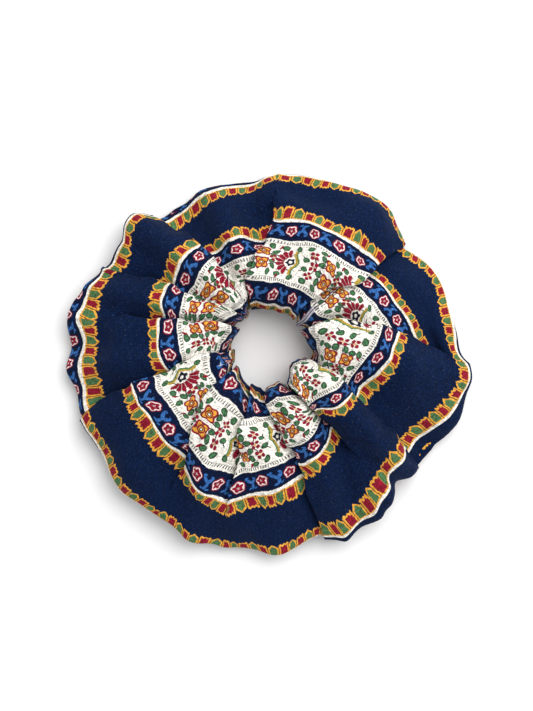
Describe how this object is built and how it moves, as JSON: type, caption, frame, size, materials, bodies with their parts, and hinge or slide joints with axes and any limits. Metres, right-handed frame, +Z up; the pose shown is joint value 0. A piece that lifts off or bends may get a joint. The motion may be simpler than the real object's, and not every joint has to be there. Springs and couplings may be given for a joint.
{
  "type": "scrunchie",
  "caption": "Gathered printed-cotton scrunchie: a ruffled fabric ring closed round a hidden loop of flat elastic, for holding hair.",
  "frame": {"origin": "under the middle of the bounding box, on the surface that the scrunchie lies on", "axes": "+Z up along the axis of the hair hole, +X along the ring's widest extent"},
  "size_m": [0.117, 0.1102, 0.0178],
  "materials": {
    "printed_cotton": "matte",
    "braided_elastic": "matte",
    "sewing_thread": "satin"
  },
  "bodies": {
    "cover": {"fabric_cover": "printed_cotton", "long_seam_needle_thread": "sewing_thread", "long_seam_bobbin_thread": "sewing_thread", "closing_seam_needle_thread": "sewing_thread", "closing_seam_bobbin_thread": "sewing_thread"},
    "elastic": {"elastic_band": "braided_elastic", "elastic_lap_needle_thread": "sewing_thread", "elastic_lap_bobbin_thread": "sewing_thread"}
  },
  "joints": [
    {"name": "elastic_turn", "type": "hinge", "parent": "cover", "child": "elastic", "pos_m": [0.00158, 0.00528, 0.0074], "axis": [0, 0, 1], "continuous": true}
  ]
}
